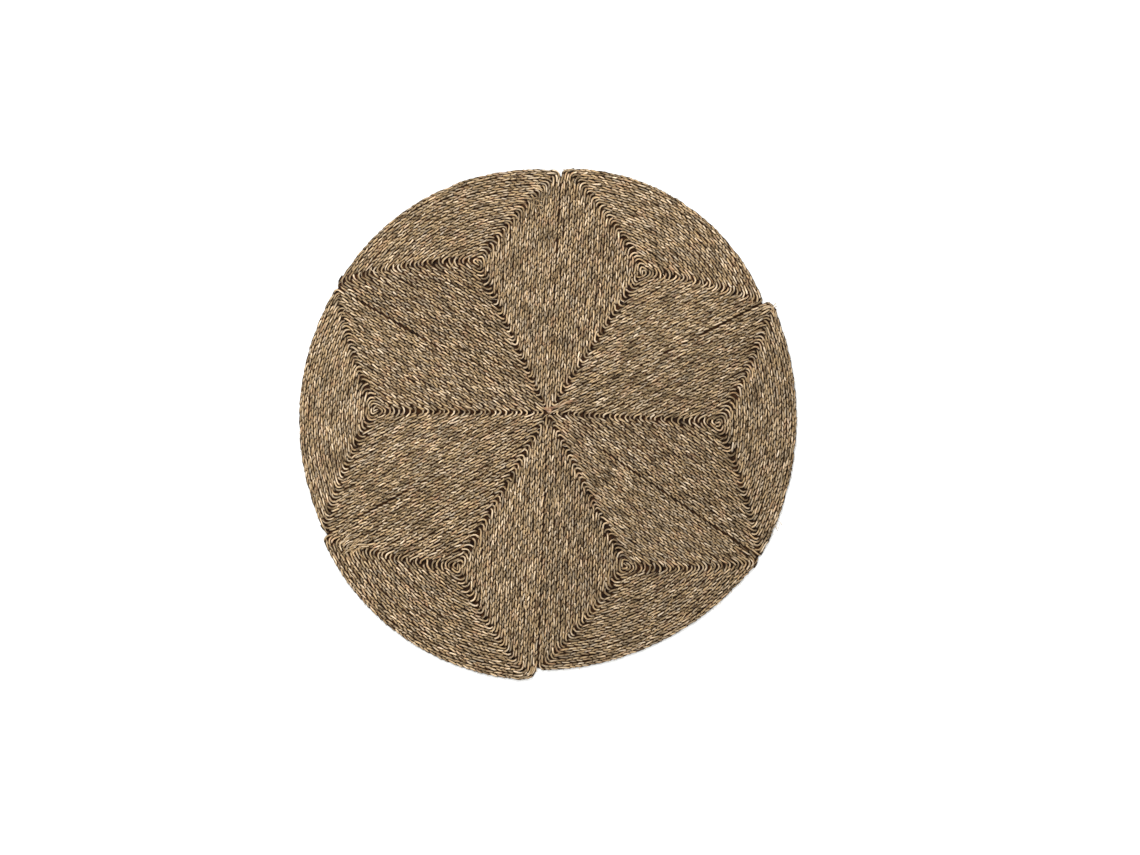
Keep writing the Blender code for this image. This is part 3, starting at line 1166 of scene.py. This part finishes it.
class RUG_OT_lacing(bpy.types.Operator):
    """Laces the rows of each panel together, and the panels to each other"""

    bl_idname = "rug.lacing"
    bl_label = "Lacing"

    def execute(self, context):
        tree = lacing_tree()
        material = seagrass("seagrass_lacing", context.scene.rug_colours, LACING_TONE, PLAIT_RED)
        places = {
            outline.panel.name: [between_rows(coil_path(outline)), rim_path(outline)] for outline in OUTLINES
        }
        places["seams"] = [seam_path(seam) for seam in SEAMS]
        for number, (name, lines) in enumerate(places.items()):
            made_piece(
                "lacing_" + name, path_object("path_" + name, *lines), tree, context.scene.rug_lacing,
                row=ROW, twist=context.scene.rug_whole.twist,
                strand_sides=STRIP_SIDES, seed=LACING_SEEDS[0] + LACING_SEEDS[1] * number,
                material=material)
        return {"FINISHED"}


class RUG_OT_knot(bpy.types.Operator):
    """Ties the panels together at the hub"""

    bl_idname = "rug.knot"
    bl_label = "Hub knot"

    def execute(self, context):
        made_piece(
            "hub_knot", path_object("path_knot", knot_path(), tie_path()), lacing_tree(),
            context.scene.rug_knot, row=ROW, twist=context.scene.rug_whole.twist,
            strand_sides=KNOT_SIDES, seed=KNOT_SEED,
            material=seagrass("seagrass_knot", context.scene.rug_colours, KNOT_TONE, KNOT_RED))
        return {"FINISHED"}


class RUG_OT_stems(bpy.types.Operator):
    """Lays the loose stems and the stem ends that stick out of the plaits"""

    bl_idname = "rug.stems"
    bl_label = "Loose stems"

    def execute(self, context):
        tree = stems_tree()
        material = seagrass("seagrass_loose", context.scene.rug_colours, LOOSE_TONE, LOOSE_RED)
        rng = random.Random(context.scene.rug_whole.seed)
        for name, ends in (("stem_ends", stem_ends), ("rim_ends", rim_ends), ("tufts", tuft_ends)):
            points, turned, long = zip(*ends(rng))
            places = points_object("points_" + name, points, [], {"turned": turned, "long": long})
            made_piece(name, places, tree, context.scene.rug_stems, material=material)
        return {"FINISHED"}


class RUG_OT_stage(bpy.types.Operator):
    """Sets the floor, the light and the camera"""

    bl_idname = "rug.stage"
    bl_label = "Floor, light and camera"

    def execute(self, context):
        scene, studio = context.scene, context.scene.rug_studio
        scene.view_settings.view_transform = "Standard"
        mesh = bpy.data.meshes.new("floor")
        corners = [(-FLOOR_HALF, -FLOOR_HALF), (FLOOR_HALF, -FLOOR_HALF),
                   (FLOOR_HALF, FLOOR_HALF), (-FLOOR_HALF, FLOOR_HALF)]
        mesh.from_pydata([(x, y, FLOOR_HEIGHT) for x, y in corners], [], [(0, 1, 2, 3)])
        paint, _ = new_material(
            "pale_floor", {"Base Color": linear("#f4f4f2"), "Roughness": 0.9, "Specular IOR Level": 0.0})
        mesh.materials.append(paint)
        new_object("floor", mesh)

        light = bpy.data.lights.new("key", "AREA")
        light.shape, light.size, light.energy = "DISK", KEY_SIZE, studio.key_power
        lamp = new_object("key", light)
        lamp.location = KEY_PLACE
        lamp.rotation_mode = "QUATERNION"
        lamp.rotation_quaternion = (-lamp.location).to_track_quat("-Z", "Y")

        # Soft light from all round, but little from straight above, so that deep gaps stay dark.
        scene.world = bpy.data.worlds.new("studio")
        scene.world.use_nodes = True
        tree = scene.world.node_tree
        way = add(tree, "ShaderNodeTexCoord", out="Generated")
        up = add(tree, "ShaderNodeSeparateXYZ", (way,), out="Z")
        strength = add(tree, RANGE, (up, 0.55, 0.95, studio.ambient, studio.ambient * studio.overhead))
        background = tree.nodes["Background"].inputs
        background["Color"].default_value = linear("#ffffff")
        tree.links.new(strength, background["Strength"])

        data = bpy.data.cameras.new("camera")
        data.lens = studio.lens
        scene.camera = new_object("camera", data)
        scene.camera.location = (
            HUB.x + VIEW_CENTRE[0], HUB.y + VIEW_CENTRE[1], VIEW_WIDTH * data.lens / data.sensor_width)
        return {"FINISHED"}


class RUG_PT_panel(bpy.types.Panel):
    """Makes the rug's pieces and sets their sizes and colours"""

    bl_idname = "RUG_PT_panel"
    bl_label = "Seagrass rug"
    bl_space_type = "VIEW_3D"
    bl_region_type = "UI"
    bl_category = "Rug"

    def draw(self, context):
        for operator in OPERATORS:
            self.layout.operator(operator.bl_idname)
        for group, settings in SETTINGS.items():
            box = self.layout.box()
            box.label(text=settings.__doc__)
            for name in settings.__annotations__:
                box.prop(getattr(context.scene, group), name)


SETTINGS = {
    "rug_whole": RugSettings,
    "rug_plait": PlaitSizes,
    "rug_lacing": LacingSizes,
    "rug_knot": KnotSizes,
    "rug_stems": StemSizes,
    "rug_colours": SeagrassColours,
    "rug_studio": StudioSettings,
}
OPERATORS = [RUG_OT_panels, RUG_OT_lacing, RUG_OT_knot, RUG_OT_stems, RUG_OT_stage]


def register():
    for group, settings in SETTINGS.items():
        bpy.utils.register_class(settings)
        setattr(bpy.types.Scene, group, PointerProperty(type=settings))
    for cls in [*OPERATORS, RUG_PT_panel]:
        bpy.utils.register_class(cls)


def unregister():
    for cls in [*OPERATORS, RUG_PT_panel]:
        bpy.utils.unregister_class(cls)
    for group, settings in SETTINGS.items():
        delattr(bpy.types.Scene, group)
        bpy.utils.unregister_class(settings)


def main():
    register()
    bpy.ops.rug.panels()
    bpy.ops.rug.lacing()
    bpy.ops.rug.knot()
    bpy.ops.rug.stems()
    bpy.ops.rug.stage()


if __name__ == "__main__":
    main()
